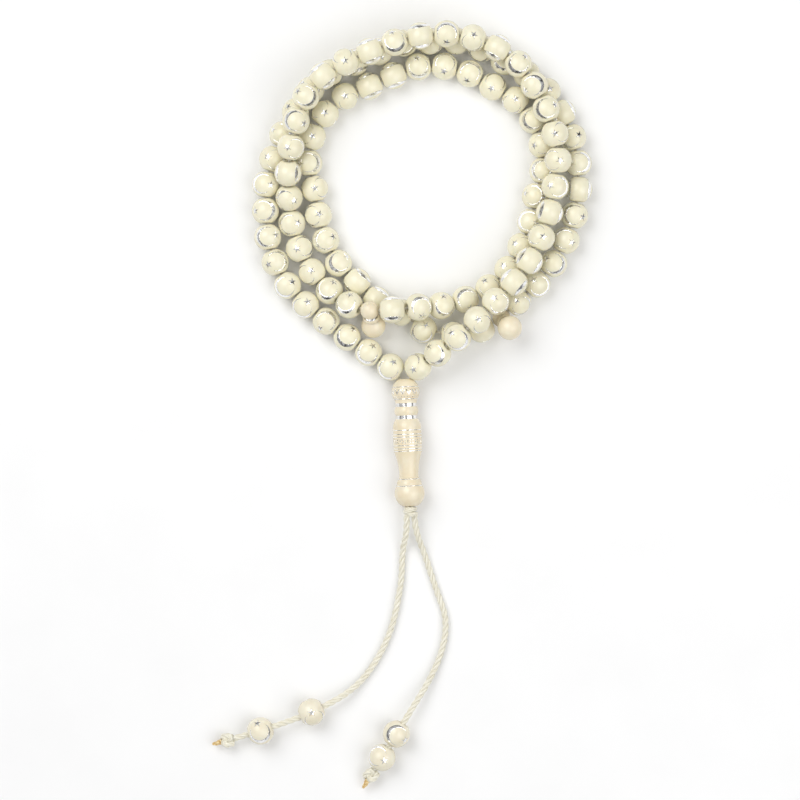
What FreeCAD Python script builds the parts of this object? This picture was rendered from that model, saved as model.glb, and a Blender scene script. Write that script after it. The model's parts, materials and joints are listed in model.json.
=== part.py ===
import FreeCAD, Part

import math
import os

import Sketcher
from FreeCAD import Placement, Rotation, Vector

# A misbaha: 99 counting beads in three sections of 33 on one string, a marker between the
# sections, and an imam (the long end piece) that both ends of the string go through. Under the
# imam a small knot holds two cord tails, each with two beads and an end knot. The strand lies on
# a table in three turns. Millimetres; +Z is up, +Y points from the tails to the far side of the
# strand, and the origin is under the middle of the strand and the imam, on the table.

SIZES = (
    ("bead_diameter", 8.0, "counting bead, across the string"),
    ("bead_length", 7.1, "counting bead, along the string"),
    ("bead_bore", 2.2, "hole of a counting bead"),
    ("bore_bevel", 0.25, "bevel at each end of a bore"),
    ("bead_rim", 0.25, "least flat left round the bevel at a bead's ends"),
    ("bead_gap", 0.6, "free string between two beads"),
    ("section_beads", 33, "counting beads in a section"),
    ("string_diameter", 0.9, "string inside the beads"),
    ("lying_gap", 0.15, "air between pieces that lie against each other"),
    ("marker_head", 5.4, "ball of a marker that the string goes through"),
    ("marker_hole", 2.3, "cross hole in that ball"),
    ("marker_groove", 3.8, "bottom of a marker's two grooves"),
    ("marker_groove_width", 0.45, "width of each of those grooves"),
    ("marker_ring", 5.0, "ring between the grooves"),
    ("marker_ring_length", 1.2, "length of that ring"),
    ("marker_ball", 7.1, "large ball of a marker"),
    ("marker_foot", 1.6, "flat at the end of the large ball"),
    ("marker_pole", 0.4, "radius of the small flat on top of the marker"),
    ("imam_mouth", 3.0, "width of the imam's hole at its top"),
    ("imam_lip", 3.5, "flat round that mouth"),
    ("imam_funnel", 2.0, "depth over which the mouth narrows to the bore"),
    ("imam_bore", 2.4, "hole down the imam"),
    ("imam_head", 8.2, "ball at the top of the imam"),
    ("imam_ledge", 6.3, "ledge under the head"),
    ("imam_ledge_length", 0.8, "length of the ledge"),
    ("imam_groove", 5.6, "bottom of the imam's two silver grooves"),
    ("imam_groove_width", 1.0, "width of each of them"),
    ("imam_collar", 7.0, "ring between those grooves"),
    ("imam_collar_length", 2.6, "length of that ring"),
    ("imam_shoulder", 6.6, "start of the shoulder"),
    ("imam_shoulder_length", 3.0, "length of the shoulder"),
    ("imam_band", 8.4, "widest part of the body, which carries the ornament"),
    ("imam_band_length", 6.6, "length of that band"),
    ("imam_waist", 5.6, "narrowest part of the body"),
    ("imam_waist_length", 7.5, "length of the taper down to it"),
    ("imam_cuff", 7.2, "wide end of the cuff over the foot"),
    ("imam_cuff_length", 2.1, "length of the cuff"),
    ("imam_foot", 8.8, "ball at the foot of the imam"),
    ("imam_foot_flat", 4.6, "flat under the foot"),
    ("tie_knot_diameter", 4.8, "knot under the foot"),
    ("tie_knot_length", 2.6, "length of that knot"),
    ("tie_knot_flat", 4.3, "flat at each end of that knot"),
    ("tail_diameter", 1.9, "twisted cord of a tail"),
    ("tail_clearance", 0.7, "how much wider the hole of a tail bead is than its cord"),
    ("end_knot_diameter", 5.0, "knot at the end of a tail"),
    ("end_knot_length", 4.6, "length of that knot"),
    ("end_knot_flat", 4.2, "flat where the cord goes into it"),
    ("tip_diameter", 1.8, "melted cord end beyond the knot"),
    ("tip_length", 2.6, "how far it sticks out of the knot"),
)
NUMBER = {name: value for name, value, note in SIZES}

# The strand's plan, in steps from one bead to the next, so that a change of bead size keeps its
# shape. Each turn has a point at its first bead, then one at every third bead, and the last is the
# piece that ends the turn: the second marker, the first marker and the imam's mouth.
POINT_EVERY = 3
TURNS = (
    ((-1.27, -4.13), (-3.70, -2.32), (-5.58, 0.04), (-5.92, 2.96), (-4.88, 5.72), (-2.30, 7.50),
     (0.50, 8.30), (2.90, 7.41), (5.34, 5.68), (5.92, 2.74), (4.97, -0.16), (2.75, -2.10)),
    ((2.08, -2.73), (-1.01, -1.91), (-3.27, -0.06), (-4.17, 2.78), (-3.66, 5.47), (-1.13, 7.07),
     (1.81, 7.12), (4.12, 5.32), (4.36, 2.45), (3.29, -0.16), (0.89, -1.59), (-2.01, -1.66)),
    ((-2.81, -1.66), (-4.63, 0.45), (-5.09, 3.43), (-4.41, 6.34), (-1.98, 7.90), (0.96, 8.63),
     (3.61, 7.58), (5.00, 5.03), (4.95, 1.98), (3.66, -0.69), (1.40, -2.79), (-0.65, -4.35)),
)
# Bare string beyond the usual gap, after these pieces of the strand, counted from 0.
LOOSE_AFTER = {34: 0.7, 35: 1.2, 36: 0.5, 37: 0.5}
PLAN_BEADS = 33            # counting beads in each turn of the plan
# How far the middle of each curved stretch of an outline stands off its chord.
RING_CROWN = 0.25
COLLAR_CROWN = 0.4
SHOULDER_CROWN = 0.3
BAND_CROWN = 0.12
WAIST_DIP = 0.35
CUFF_CROWN = 0.25
KNOT_CROWN = 0.35
IMAM_LEAN = 2.3            # degrees that the imam's foot lies to the right of straight down
# Which way the large balls of the second and first markers lie from their heads, and how steeply
# they rise from there, in degrees.
MARKER_SIDES = ((0.50, -0.87), (0.03, -1.00))
MARKER_RISES = (58.0, -50.0)
END_RUN = 1.45             # bare string from the imam's mouth to the beads beside it
MOUTH_RISE = 0.8           # how far outside the mouth the two ends of the string part
LEG_OFFSET = 0.5           # each end of the string from the imam's axis
KNOT_GAP = 0.1             # air between the imam's foot and the knot under it
KNOT_LIFT = 0.35           # how far the middle of an end knot stands over its own radius
ARC_SHARE = 0.45           # how much of the shorter run beside a corner its arc takes
EASE = 0.19                # how far the string's corners stand out, as a share of a bead's length
START_RISE = 0.3           # how much higher each piece starts than the one before it
TABLE_GAP = 0.02           # air under a piece that lies on the table
BEAD_TURN = 18.0           # the most that the strand turns at a bead, in degrees
LOOSE_TURN = 28.0          # the most that it turns at a bead with bare string on both sides
MARKER_TURN = 20.0         # the most that it turns at a marker

# Routes of the tails: places across the imam and on past its foot, and which height each has.
# The first point is under the knot and the last is where the cord goes into its end knot.
LEFT_TAIL = (
    (-1.15, 2.7, "imam"), (-1.15, 7.0, "imam"), (-2.9, 13.2, "table"), (-3.2, 20.6, "table"),
    (-4.8, 28.3, "table"), (-6.9, 36.0, "table"), (-11.0, 44.2, "table"), (-16.7, 51.4, "table"),
    (-23.8, 56.1, "low"), (-38.7, 62.1, "high"), (-54.1, 65.9, "low"),
)
RIGHT_TAIL = (
    (1.15, 2.7, "imam"), (1.15, 7.0, "imam"), (3.6, 14.2, "table"), (6.6, 24.8, "table"),
    (9.9, 34.9, "table"), (6.1, 47.8, "table"), (-4.1, 62.6, "high"), (-13.4, 76.5, "low"),
)
CORD_LIFT = 0.05           # air under a tail that lies on the table
BEAD_SAG = 0.3             # how far the cord runs above or below the middle of a tail bead
LEFT_RUNS = (8, 9)         # the runs of the left tail whose middles its beads are at
KNOT_SPACE = 0.38          # bare cord between the right tail's end knot and its lower bead
BEAD_SPACE = 1.02          # bare cord between the right tail's beads

document = FreeCAD.newDocument("misbaha")
parts = []                 # every sub-part, in the order in which they are written
places = {}                # what each moving piece turns or slides about: (point, direction)


def make_sheet():
    """The spreadsheet of driving sizes, one row each, with its alias and a note."""
    sheet = document.addObject("Spreadsheet::Sheet", "sizes")
    for row, (name, value, note) in enumerate(SIZES, start=1):
        sheet.set(f"A{row}", name)
        sheet.set(f"B{row}", str(value))
        sheet.set(f"C{row}", note)
        sheet.setAlias(f"B{row}", name)
    document.recompute()


class Size:
    """A length that knows its number and the spreadsheet formula that gives it."""

    def __init__(self, number, formula):
        self.number = float(number)
        self.formula = formula

    def __add__(self, other):
        other = as_size(other)
        return Size(self.number + other.number, f"({self.formula} + {other.formula})")

    def __sub__(self, other):
        other = as_size(other)
        return Size(self.number - other.number, f"({self.formula} - {other.formula})")

    def __mul__(self, other):
        other = as_size(other)
        return Size(self.number * other.number, f"({self.formula} * {other.formula})")

    def __truediv__(self, other):
        other = as_size(other)
        return Size(self.number / other.number, f"({self.formula} / {other.formula})")

    def root(self):
        return Size(math.sqrt(self.number), f"sqrt({self.formula})")


def as_size(value):
    """A plain number as a Size."""
    return value if isinstance(value, Size) else Size(value, str(value))


def size(name):
    return Size(NUMBER[name], "sizes." + name)


def half(name):
    return size(name) / 2


def beside(radius, height):
    """How far along its axis a ball of this radius is from its middle where its section is height."""
    return (radius * radius - height * height).root()


def bulge(start, end, rise):
    """The radius of the arc from start to end whose middle stands the rise off their chord."""
    across = end[0] - start[0]
    up = end[1] - start[1]
    chord = across * across + up * up
    return (chord / 4 + as_size(rise) * rise) / (as_size(rise) * 2)


def arc_middle(start, end, radius, outward):
    """The middle point of the shorter arc between two points, on the far side from the axis or near."""
    chord = end - start
    side = Vector(-chord.y, chord.x, 0).normalize()
    if (side.y < 0) == outward:
        side = side * -1
    rise = radius - math.sqrt(max(radius ** 2 - chord.Length ** 2 / 4, 0))
    return (start + end) * 0.5 + side * rise


def turned_body(label, outline):
    """A body turned about X. The outline is a closed loop of (x, r) corners; a third entry makes
    the stretch that ends there an arc of that radius, hollow if a fourth entry says so."""
    body = document.addObject("PartDesign::Body", label)
    body.Label = label
    sketch = body.newObject("Sketcher::SketchObject", label + "_outline")
    plane = [f for f in body.Origin.OriginFeatures if f.Role == "XY_Plane"][0]
    sketch.AttachmentSupport = (plane, "")
    sketch.MapMode = "FlatFace"
    corners = [Vector(corner[0].number, corner[1].number, 0) for corner in outline]
    ends = []
    for index, corner in enumerate(outline):
        start = corners[index - 1]
        end = corners[index]
        forward = True
        if len(corner) > 2:
            middle = arc_middle(start, end, corner[2].number, len(corner) == 3)
            forward = (middle - start).cross(end - middle).z > 0
            arc = Part.Arc(start, middle, end) if forward else Part.Arc(end, middle, start)
            piece = sketch.addGeometry(arc, False)
            bind(sketch, Sketcher.Constraint("Radius", piece, corner[2].number), corner[2])
        else:
            piece = sketch.addGeometry(Part.LineSegment(start, end), False)
        ends.append((piece, 1, 2) if forward else (piece, 2, 1))
    for index, (piece, first, last) in enumerate(ends):
        before, tail = ends[index - 1][0], ends[index - 1][2]
        sketch.addConstraint(Sketcher.Constraint("Coincident", before, tail, piece, first))
        place_corner(sketch, piece, last, outline[index][0], outline[index][1])
    turning = body.newObject("PartDesign::Revolution", label + "_turning")
    turning.Profile = sketch
    turning.ReferenceAxis = (sketch, ["H_Axis"])
    turning.Angle = 360
    body.Tip = turning
    return body


def place_corner(sketch, piece, end, x, r):
    """Fix one end of a sketch line at (x, r), on the axis itself where a value is zero."""
    if x.number == 0 and r.number == 0:
        sketch.addConstraint(Sketcher.Constraint("Coincident", piece, end, -1, 1))
        return
    if x.number == 0:
        sketch.addConstraint(Sketcher.Constraint("PointOnObject", piece, end, -2))
    else:
        bind(sketch, Sketcher.Constraint("DistanceX", -1, 1, piece, end, x.number), x)
    if r.number == 0:
        sketch.addConstraint(Sketcher.Constraint("PointOnObject", piece, end, -1))
    else:
        bind(sketch, Sketcher.Constraint("DistanceY", -1, 1, piece, end, r.number), r)


def bind(sketch, constraint, value):
    """Add a constraint and tie it to the spreadsheet."""
    sketch.addConstraint(constraint)
    sketch.setExpression(f"Constraints[{sketch.ConstraintCount - 1}]", value.formula)


def bead_outline(bore):
    """A ball with flat ends and a bevelled bore, from x = 0 to its length. A bead whose ball would
    leave less than the rim round its bore is a barrel between two rims."""
    length = size("bead_length")
    radius = half("bead_diameter")
    inner = bore / 2
    bevel = size("bore_bevel")
    rim = inner + bevel + size("bead_rim")
    zero = as_size(0)
    if math.hypot(rim.number, length.number / 2) < radius.number:
        flat, side = beside(radius, length / 2), radius
    else:
        flat, side = rim, bulge((zero, rim), (length, rim), radius - rim)
    return ((bevel, inner), (zero, inner + bevel), (zero, flat), (length, flat, side),
            (length, inner + bevel), (length - bevel, inner))


def bead_reach():
    """How far the outside of a counting bead is from its middle at most."""
    rim = NUMBER["bead_bore"] / 2 + NUMBER["bore_bevel"] + NUMBER["bead_rim"]
    return max(NUMBER["bead_diameter"] / 2, math.hypot(NUMBER["bead_length"] / 2, rim))


def bead_body(label, bore):
    return turned_body(label, bead_outline(bore))


def marker_body(label):
    """A turned spindle: a ball for the string, a ring between two grooves, and a larger ball."""
    head = half("marker_head")
    groove = half("marker_groove")
    width = size("marker_groove_width")
    ring = half("marker_ring")
    ball = half("marker_ball")
    foot = half("marker_foot")
    pole = size("marker_pole")
    top = head - beside(head, pole)
    neck = head + beside(head, groove)
    ring_start = neck + width
    ring_end = ring_start + size("marker_ring_length")
    edge = ring - RING_CROWN
    ring_arc = bulge((ring_start, edge), (ring_end, edge), RING_CROWN)
    ball_start = ring_end + width
    ball_middle = ball_start + beside(ball, groove)
    length = ball_middle + beside(ball, foot)
    axis = as_size(0)
    body = turned_body(label, (
        (top, axis), (top, pole), (neck, groove, head), (ring_start, groove), (ring_start, edge),
        (ring_end, edge, ring_arc), (ring_end, groove), (ball_start, groove),
        (length, foot, ball), (length, axis)))
    return body, head


def imam_outline():
    """The imam from its mouth to its foot, with the bore, and the middle of its head and its length."""
    head = half("imam_head")
    mouth = half("imam_mouth")
    bore = half("imam_bore")
    lip = half("imam_lip")
    ledge = half("imam_ledge")
    groove = half("imam_groove")
    collar = half("imam_collar")
    shoulder = half("imam_shoulder")
    band = half("imam_band")
    waist = half("imam_waist")
    cuff = half("imam_cuff")
    foot = half("imam_foot")
    flat = half("imam_foot_flat")
    width = size("imam_groove_width")
    zero = as_size(0)
    middle = beside(head, lip)
    head_end = middle + beside(head, ledge)
    ledge_end = head_end + size("imam_ledge_length")
    groove_end = ledge_end + width
    collar_end = groove_end + size("imam_collar_length")
    shoulder_start = collar_end + width
    shoulder_end = shoulder_start + size("imam_shoulder_length")
    band_end = shoulder_end + size("imam_band_length")
    waist_end = band_end + size("imam_waist_length")
    cuff_end = waist_end + size("imam_cuff_length")
    length = cuff_end + beside(foot, cuff) + beside(foot, flat)
    edge = collar - COLLAR_CROWN
    band_edge = band - BAND_CROWN
    return (
        (zero, mouth), (zero, lip), (head_end, ledge, head), (ledge_end, ledge),
        (ledge_end, groove), (groove_end, groove), (groove_end, edge),
        (collar_end, edge, bulge((groove_end, edge), (collar_end, edge), COLLAR_CROWN)),
        (collar_end, groove), (shoulder_start, groove), (shoulder_start, shoulder),
        (shoulder_end, band_edge,
         bulge((shoulder_start, shoulder), (shoulder_end, band_edge), SHOULDER_CROWN)),
        (band_end, band_edge, bulge((shoulder_end, band_edge), (band_end, band_edge), BAND_CROWN)),
        (waist_end, waist, bulge((band_end, band_edge), (waist_end, waist), WAIST_DIP), "hollow"),
        (cuff_end, cuff, bulge((waist_end, waist), (cuff_end, cuff), CUFF_CROWN)),
        (length, flat, foot), (length, bore), (size("imam_funnel"), bore),
    ), middle, length


def knot_outline(diameter, length, flat, tip=None):
    """Two rounded lumps side by side with flat ends, and a cord end beyond them if there is a tip."""
    wide = diameter / 2
    end = flat / 2
    dip = wide - (wide - end) / 3
    zero = as_size(0)
    lump = bulge((zero, end), (length / 2, dip), KNOT_CROWN)
    outline = [(zero, zero), (zero, end), (length / 2, dip, lump), (length, end, lump)]
    if tip:
        outline += [(length, tip[0] / 2), (length + tip[1], tip[0] / 3)]
        return outline + [(length + tip[1], zero)]
    return outline + [(length, zero)]


def unit(vector):
    return Vector(vector).normalize()


def turned_to(direction):
    """The rotation that lays a body's own X along a direction."""
    return Rotation(Vector(1, 0, 0), direction)


def smooth_point(before, start, end, after, share):
    """A point between start and end on a smooth line through four points."""
    def blend(a, b, c, d):
        return 0.5 * (2 * b + (c - a) * share + (2 * a - 5 * b + 4 * c - d) * share ** 2
                      + (3 * b - a - 3 * c + d) * share ** 3)
    return [blend(*values) for values in zip(before, start, end, after)]


class Strand:
    """The pieces on the string, in order, and how they come to lie on the table and each other."""

    def __init__(self, mouth, down, head_middle):
        self.beads = int(NUMBER["section_beads"])
        self.turn = self.beads + 1
        self.count = 3 * self.turn - 1
        self.step = NUMBER["bead_length"] + NUMBER["bead_gap"]
        self.bead = bead_reach()
        self.head = NUMBER["marker_head"] / 2
        self.ball = NUMBER["marker_ball"] / 2
        self.gap = NUMBER["lying_gap"]
        self.mouth = mouth
        self.imam_head = mouth + down * (MOUTH_RISE + head_middle)
        self.markers = (self.turn - 1, 2 * self.turn - 1)
        self.radius = [self.bead] * self.count
        for item in self.markers:
            self.radius[item] = self.head
        self.goal = [self.plan_point(item) for item in range(self.count)]
        self.place = [[x, y, self.bead + START_RISE * item] for item, (x, y) in enumerate(self.goal)]
        self.reach = marker_reach().number
        self.rise = [self.reach * math.sin(math.radians(rise)) for rise in MARKER_RISES]
        for item, (x, y), rise in zip(self.markers, MARKER_SIDES, self.rise):
            gx, gy = self.goal[item]
            out = math.sqrt(self.reach ** 2 - rise ** 2)
            self.goal.append([gx + x * out, gy + y * out])
            self.place.append([*self.goal[-1], self.place[item][2] + rise])
            self.radius.append(self.ball)
        self.spacing = [self.spacing_after(item) for item in range(self.count - 1)]

    def plan_point(self, item):
        """Where the plan has a piece."""
        turn, along = divmod(item, self.turn)
        index, part = divmod(along * PLAN_BEADS / self.beads, POINT_EVERY)
        plan = [point for row in TURNS for point in row]
        at = min(len(TURNS[0]) * turn + int(index), len(plan) - 2)
        around = [plan[min(max(at + k, 0), len(plan) - 1)] for k in (-1, 0, 1, 2)]
        x, y = smooth_point(*around, part / POINT_EVERY)
        grow = self.step * self.beads / PLAN_BEADS
        return [x * grow, y * grow]

    def spacing_after(self, item):
        """From one piece on the string to the next, middle to middle."""
        if item in self.markers or item + 1 in self.markers:
            return NUMBER["bead_length"] / 2 + 0.75 * NUMBER["bead_gap"] + self.head
        return self.step + LOOSE_AFTER.get(item, 0)

    def neighbours(self):
        """The pairs that could touch, with the least that they may be apart."""
        pairs = []
        total = len(self.place)
        for a in range(total):
            for b in range(a + 1, total):
                if b < self.count and b - a == 1:
                    continue
                if b >= self.count and a == self.markers[b - self.count]:
                    continue
                gx = self.goal[a][0] - self.goal[b][0]
                gy = self.goal[a][1] - self.goal[b][1]
                if math.hypot(gx, gy) < 2.2 * 2 * self.bead:
                    pairs.append((a, b, self.radius[a] + self.radius[b] + self.gap))
        return pairs

    def pull(self, a, b, length, share_a=0.5):
        """Move two pieces along the line between them until they are a length apart."""
        pa, pb = self.place[a], self.place[b]
        line = [pb[k] - pa[k] for k in range(3)]
        distance = math.sqrt(sum(value * value for value in line)) or 1e-6
        move = (distance - length) / distance
        for k in range(3):
            pa[k] += line[k] * move * share_a
            pb[k] -= line[k] * move * (1 - share_a)

    def apart(self, a, b):
        pa, pb = self.place[a], self.place[b]
        return math.dist(pa, pb)

    def keep_from(self, item, point, least, exact=False):
        """Hold a piece at least a distance from a fixed point, or exactly at it."""
        place = self.place[item]
        line = [place[k] - point[k] for k in range(3)]
        distance = math.sqrt(sum(value * value for value in line)) or 1e-6
        if exact or distance < least:
            for k in range(3):
                place[k] = point[k] + line[k] * least / distance

    def relax(self, rounds, weight, guide):
        """Let the strand fall by weight and follow the plan by guide, within what it can do."""
        pairs = self.neighbours()
        bends = [self.least_bend(item) for item in range(self.count - 2)]
        ends = (0, self.count - 1)
        for _ in range(rounds):
            for item, place in enumerate(self.place):
                place[0] += (self.goal[item][0] - place[0]) * guide
                place[1] += (self.goal[item][1] - place[1]) * guide
                place[2] -= weight
            for item, spacing in enumerate(self.spacing):
                self.pull(item, item + 1, spacing)
            for item, bend in enumerate(bends):
                if self.apart(item, item + 2) < bend:
                    self.pull(item, item + 2, bend)
            self.steady_markers()
            for item in ends:
                self.keep_from(item, self.mouth, END_RUN + NUMBER["bead_length"] / 2, exact=True)
                self.keep_from(item, self.imam_head, self.bead + NUMBER["imam_head"] / 2 + self.gap)
            for a, b, least in pairs:
                if self.apart(a, b) < least:
                    self.pull(a, b, least)
            for item, place in enumerate(self.place):
                place[2] = max(place[2], self.radius[item] + TABLE_GAP)

    def steady_markers(self):
        """Keep each marker's large ball at its height, its reach and its place across the string."""
        for k, item in enumerate(self.markers):
            ball = self.place[self.count + k]
            ball[2] += (self.place[item][2] + self.rise[k] - ball[2]) * 0.5
            self.square_up(item, self.count + k)
            self.pull(item, self.count + k, self.reach, 0.2)

    def least_bend(self, item):
        """How near two pieces may come when the strand bends all it may at the one between them."""
        before, after = self.spacing[item], self.spacing[item + 1]
        turn = BEAD_TURN
        if item + 1 in self.markers:
            turn = MARKER_TURN
        elif item in LOOSE_AFTER and item + 1 in LOOSE_AFTER:
            turn = LOOSE_TURN
        across = 2 * before * after * math.cos(math.radians(turn))
        return math.sqrt(before ** 2 + after ** 2 + across)

    def square_up(self, item, ball):
        """Turn a marker's ball back to the plane across the string."""
        before, after = self.place[item - 1], self.place[item + 1]
        line = Vector(*after) - Vector(*before)
        line.normalize()
        lean = (Vector(*self.place[ball]) - Vector(*self.place[item])).dot(line)
        for k in range(3):
            self.place[ball][k] -= line[k] * lean

    def lay(self):
        """Drop the strand on the table, then draw it tight with nothing pushing it."""
        self.relax(400, 0.12, 0.15)
        self.relax(500, 0.04, 0.03)
        self.relax(900, 0.0, 0.0)
        worst = min(self.apart(a, b) - least for a, b, least in self.neighbours())
        print(f"strand laid: closest pieces {self.gap + worst:.3f} mm apart")
        return [Vector(*place) for place in self.place]


def marker_reach():
    """From the middle of a marker's head to the middle of its large ball."""
    groove = half("marker_groove")
    neck = beside(half("marker_head"), groove)
    ring = size("marker_groove_width") * 2 + size("marker_ring_length")
    return neck + ring + beside(half("marker_ball"), groove)


def bent_path(points):
    """Straight runs joined by tangent arcs, and the radius of each arc."""
    edges = []
    radii = []
    start = points[0]
    for before, corner, after in zip(points, points[1:], points[2:]):
        back = unit(before - corner)
        on = unit(after - corner)
        turn = math.pi - back.getAngle(on)
        tangent = ARC_SHARE * min((before - corner).Length, (after - corner).Length)
        radius = tangent / math.tan(turn / 2)
        first = corner + back * tangent
        last = corner + on * tangent
        inside = unit(back + on)
        middle = corner + inside * (radius / math.cos(turn / 2) - radius)
        edges.append(Part.LineSegment(start, first).toShape())
        edges.append(Part.Arc(first, middle, last).toShape())
        radii.append(radius)
        start = last
    edges.append(Part.LineSegment(start, points[-1]).toShape())
    return Part.Wire(edges), radii


def tube(label, points, diameter):
    """A cord of round section along a route."""
    path, radii = bent_path(points)
    profile = Part.Wire([Part.Circle(points[0], points[1] - points[0], diameter / 2).toShape()])
    solid = path.makePipeShell([profile], True, False)
    wanted = math.pi * diameter ** 2 / 4 * path.Length
    print(f"{label}: length {path.Length:.1f} mm, volume {solid.Volume:.2f} of {wanted:.2f} mm3, "
          f"radii {min(radii):.1f} to {max(radii):.0f} mm")
    feature = document.addObject("Part::Feature", label)
    feature.Label = label
    feature.Shape = solid
    return feature


def keep(feature, placement=None):
    """Put a finished sub-part in its place and on the list."""
    if placement is not None:
        feature.Placement = placement
    parts.append(feature)
    return feature


def threaded(middle, direction, length):
    """The placement of a body whose own X is its bore and whose middle is half its length along."""
    direction = unit(direction)
    return Placement(middle - direction * (length / 2), turned_to(direction))


def string_directions(route):
    """The way the string runs at each inner point of its route."""
    return [unit(unit(b - a) + unit(c - b)) for a, b, c in zip(route, route[1:], route[2:])]


def eased(centres, length):
    """The corners of the string's route. Each stands out from its piece on the outside of the bend,
    so that the string's curve keeps to the middle of the bore."""
    corners = [centres[0]]
    for before, centre, after in zip(centres, centres[1:], centres[2:]):
        inward = unit(before - centre) + unit(after - centre)
        corners.append(centre - inward * (EASE * length))
    return corners + [centres[-1]]


def make_beads(centres, directions, first, last, blank):
    """A group of counting beads as one sub-part of separate solids."""
    label = f"counting_beads_{first:02d}_{last:02d}"
    length = NUMBER["bead_length"]
    solids = []
    for number in range(first, last + 1):
        solid = blank.copy()
        solid.Placement = threaded(centres[number - 1], directions[number - 1], length)
        solids.append(solid)
    group = document.addObject("Part::Feature", label)
    group.Label = label
    group.Shape = Part.makeCompound(solids)
    keep(group)


def tail_heights():
    """How high a tail runs at the imam, on the table, and low and high in its beads."""
    bead = NUMBER["bead_diameter"] / 2
    return {
        "imam": NUMBER["imam_foot"] / 2 + TABLE_GAP,
        "table": NUMBER["tail_diameter"] / 2 + CORD_LIFT,
        "low": bead - BEAD_SAG,
        "high": bead + BEAD_SAG,
    }


def tail_route(points, foot, down):
    """A tail's points, turned with the imam and carried to its foot."""
    right = Vector(-down.y, down.x, 0)
    flat_foot = Vector(foot.x, foot.y, 0)
    heights = tail_heights()
    return [flat_foot + right * x + down * y + Vector(0, 0, heights[level])
            for x, y, level in points]


def spaced_beads(route):
    """The left tail's beads, each in the middle of a run: (middle, direction)."""
    return [((route[run] + route[run + 1]) * 0.5, unit(route[run + 1] - route[run]))
            for run in LEFT_RUNS]


def close_beads(route):
    """The right tail's beads, one behind the other before the end knot: (middle, direction)."""
    length = NUMBER["bead_length"]
    direction = unit(route[-1] - route[-2])
    lower = route[-1] - direction * (length / 2 + KNOT_SPACE)
    upper = lower - direction * (length + BEAD_SPACE)
    return [(upper, direction), (lower, direction)]


def make_tail(side, route, beads):
    """A tail's cord, its two beads and its end knot."""
    keep(tube(f"tail_cord_{side}", route, NUMBER["tail_diameter"]))
    bore = size("tail_diameter") + size("tail_clearance")
    for name, (middle, direction) in zip(("upper", "lower"), beads):
        label = f"tail_bead_{side}_{name}"
        middle.z = NUMBER["bead_diameter"] / 2 + TABLE_GAP
        body = bead_body(label, bore)
        keep(body, threaded(middle, direction, NUMBER["bead_length"]))
        places[label] = (middle, direction)
    tip = (size("tip_diameter"), size("tip_length"))
    label = f"end_knot_{side}"
    knot = turned_body(label, knot_outline(size("end_knot_diameter"), size("end_knot_length"),
                                           size("end_knot_flat"), tip))
    direction = unit(route[-1] - route[-2])
    drop = max(route[-1].z - NUMBER["end_knot_diameter"] / 2 - KNOT_LIFT, 0)
    up = Vector(0, 0, 1)
    level = up - direction * up.dot(direction)
    keep(knot, Placement(route[-1] - level * drop, turned_to(direction)))


def add_cross_hole(body, along):
    """The string's hole through a marker's head, across the marker."""
    sketch = body.newObject("Sketcher::SketchObject", body.Name + "_hole")
    plane = [f for f in body.Origin.OriginFeatures if f.Role == "XY_Plane"][0]
    sketch.AttachmentSupport = (plane, "")
    sketch.MapMode = "FlatFace"
    hole = half("marker_hole")
    circle = sketch.addGeometry(Part.Circle(Vector(along.number, 0, 0), Vector(0, 0, 1), hole.number))
    bind(sketch, Sketcher.Constraint("Radius", circle, hole.number), hole)
    sketch.addConstraint(Sketcher.Constraint("PointOnObject", circle, 3, -1))
    bind(sketch, Sketcher.Constraint("DistanceX", -1, 1, circle, 3, along.number), along)
    document.recompute()
    before = body.Shape.Volume
    pocket = body.newObject("PartDesign::Pocket", body.Name + "_string_hole")
    pocket.Profile = sketch
    pocket.Type = "ThroughAll"
    pocket.SideType = "Symmetric"
    body.Tip = pocket
    document.recompute()
    if body.Shape.Volume > before - hole.number ** 2 * math.pi * along.number:
        raise RuntimeError(body.Label + ": the string hole cut too little")


def make_marker(number, head_at, ball_at, string_way):
    """A marker with its cross hole round the string and its large ball where the strand has it."""
    label = f"marker_{number}"
    body, head = marker_body(label)
    add_cross_hole(body, head)
    axis = unit(ball_at - head_at)
    across = unit(string_way - axis * string_way.dot(axis))
    turn = Rotation(axis, Vector(0, 0, 0), across, "XZY")
    keep(body, Placement(head_at - axis * head.number, turn))
    places[label] = (head_at, across)


def make_strand_beads(centres, ways):
    """The last section's beads one by one, and those under it in groups."""
    total = len(centres)
    section = int(NUMBER["section_beads"])
    first_single = total - section + 1
    length = NUMBER["bead_length"]
    for number in range(first_single, total + 1):
        label = f"counting_bead_{number:02d}"
        centre, way = centres[number - 1], ways[number - 1]
        bead = keep(bead_body(label, size("bead_bore")), threaded(centre, way, length))
        places[label] = (centre, way)
    document.recompute()
    blank = bead.Shape.copy()
    blank.Placement = Placement()
    group = section // 3
    for first in range(1, first_single, group):
        make_beads(centres, ways, first, min(first + group, first_single) - 1, blank)


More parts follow.
